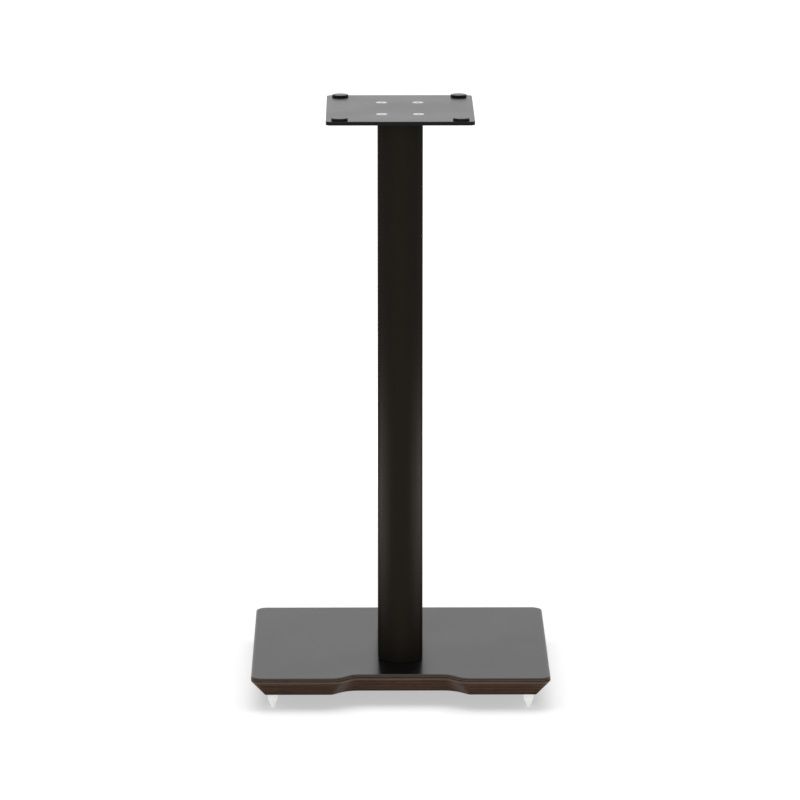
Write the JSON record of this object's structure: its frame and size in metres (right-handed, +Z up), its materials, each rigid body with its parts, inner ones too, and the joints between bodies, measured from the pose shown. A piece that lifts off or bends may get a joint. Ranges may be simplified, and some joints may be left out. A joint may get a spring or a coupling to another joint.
{
  "type": "speaker stand",
  "caption": "Tall speaker stand: thin top plate with rubber pads on an oval column, over a bevelled wooden plinth with a steel sheet and levelling spikes.",
  "frame": {"origin": "centre of the stand on the floor, at the level of the tips of the spikes", "axes": "+Z up along the column, +X to the right, -Y to the front, where the base has its notch"},
  "size_m": [0.306, 0.296, 0.6024],
  "materials": {
    "black_steel": "satin black powder coat on steel",
    "black_extrusion": "satin black coat on an aluminium extrusion",
    "pad_rubber": "matt black rubber",
    "bright_steel": "bright plated steel",
    "bolt_steel": "zinc plated steel",
    "insert_brass": "plain brass",
    "cover_plastic": "matt black plastic",
    "walnut": "dark walnut with a thin satin lacquer"
  },
  "bodies": {
    "stand": {"top_plate": "black_steel", "pad_front_left": "pad_rubber", "pad_front_right": "pad_rubber", "pad_rear_left": "pad_rubber", "pad_rear_right": "pad_rubber", "top_screws": "bright_steel", "column": "black_extrusion", "cable_cover": "cover_plastic", "base_plate": "black_steel", "plinth": "walnut", "column_bolts": "bolt_steel", "bolt_washers": "bolt_steel", "insert_front_left": "insert_brass", "insert_front_right": "insert_brass", "insert_rear_left": "insert_brass", "insert_rear_right": "insert_brass"},
    "locknut_front_left": {"locknut_front_left": "bright_steel"},
    "locknut_front_right": {"locknut_front_right": "bright_steel"},
    "locknut_rear_left": {"locknut_rear_left": "bright_steel"},
    "locknut_rear_right": {"locknut_rear_right": "bright_steel"},
    "spike_front_left": {"spike_front_left": "bright_steel"},
    "spike_front_right": {"spike_front_right": "bright_steel"},
    "spike_rear_left": {"spike_rear_left": "bright_steel"},
    "spike_rear_right": {"spike_rear_right": "bright_steel"}
  },
  "joints": [
    {"name": "turn_front_left", "type": "hinge", "parent": "stand", "child": "locknut_front_left", "pos_m": [-0.131, -0.125, 0.0129], "axis": [0, 0, -1], "range_deg": [0, 2160]},
    {"name": "turn_front_right", "type": "hinge", "parent": "stand", "child": "locknut_front_right", "pos_m": [0.131, -0.125, 0.0129], "axis": [0, 0, -1], "range_deg": [0, 2160]},
    {"name": "turn_rear_left", "type": "hinge", "parent": "stand", "child": "locknut_rear_left", "pos_m": [-0.131, 0.125, 0.0129], "axis": [0, 0, -1], "range_deg": [0, 2160]},
    {"name": "turn_rear_right", "type": "hinge", "parent": "stand", "child": "locknut_rear_right", "pos_m": [0.131, 0.125, 0.0129], "axis": [0, 0, -1], "range_deg": [0, 2160]},
    {"name": "extend_front_left", "type": "slide", "parent": "locknut_front_left", "child": "spike_front_left", "axis": [0, 0, -1], "range_m": [0, 0.006]},
    {"name": "extend_front_right", "type": "slide", "parent": "locknut_front_right", "child": "spike_front_right", "axis": [0, 0, -1], "range_m": [0, 0.006]},
    {"name": "extend_rear_left", "type": "slide", "parent": "locknut_rear_left", "child": "spike_rear_left", "axis": [0, 0, -1], "range_m": [0, 0.006]},
    {"name": "extend_rear_right", "type": "slide", "parent": "locknut_rear_right", "child": "spike_rear_right", "axis": [0, 0, -1], "range_m": [0, 0.006]}
  ],
  "couplings": [
    {"joint": "turn_front_left", "follows": "extend_front_left", "rad_per_m": 6283.2},
    {"joint": "turn_front_right", "follows": "extend_front_right", "rad_per_m": 6283.2},
    {"joint": "turn_rear_left", "follows": "extend_rear_left", "rad_per_m": 6283.2},
    {"joint": "turn_rear_right", "follows": "extend_rear_right", "rad_per_m": 6283.2}
  ]
}
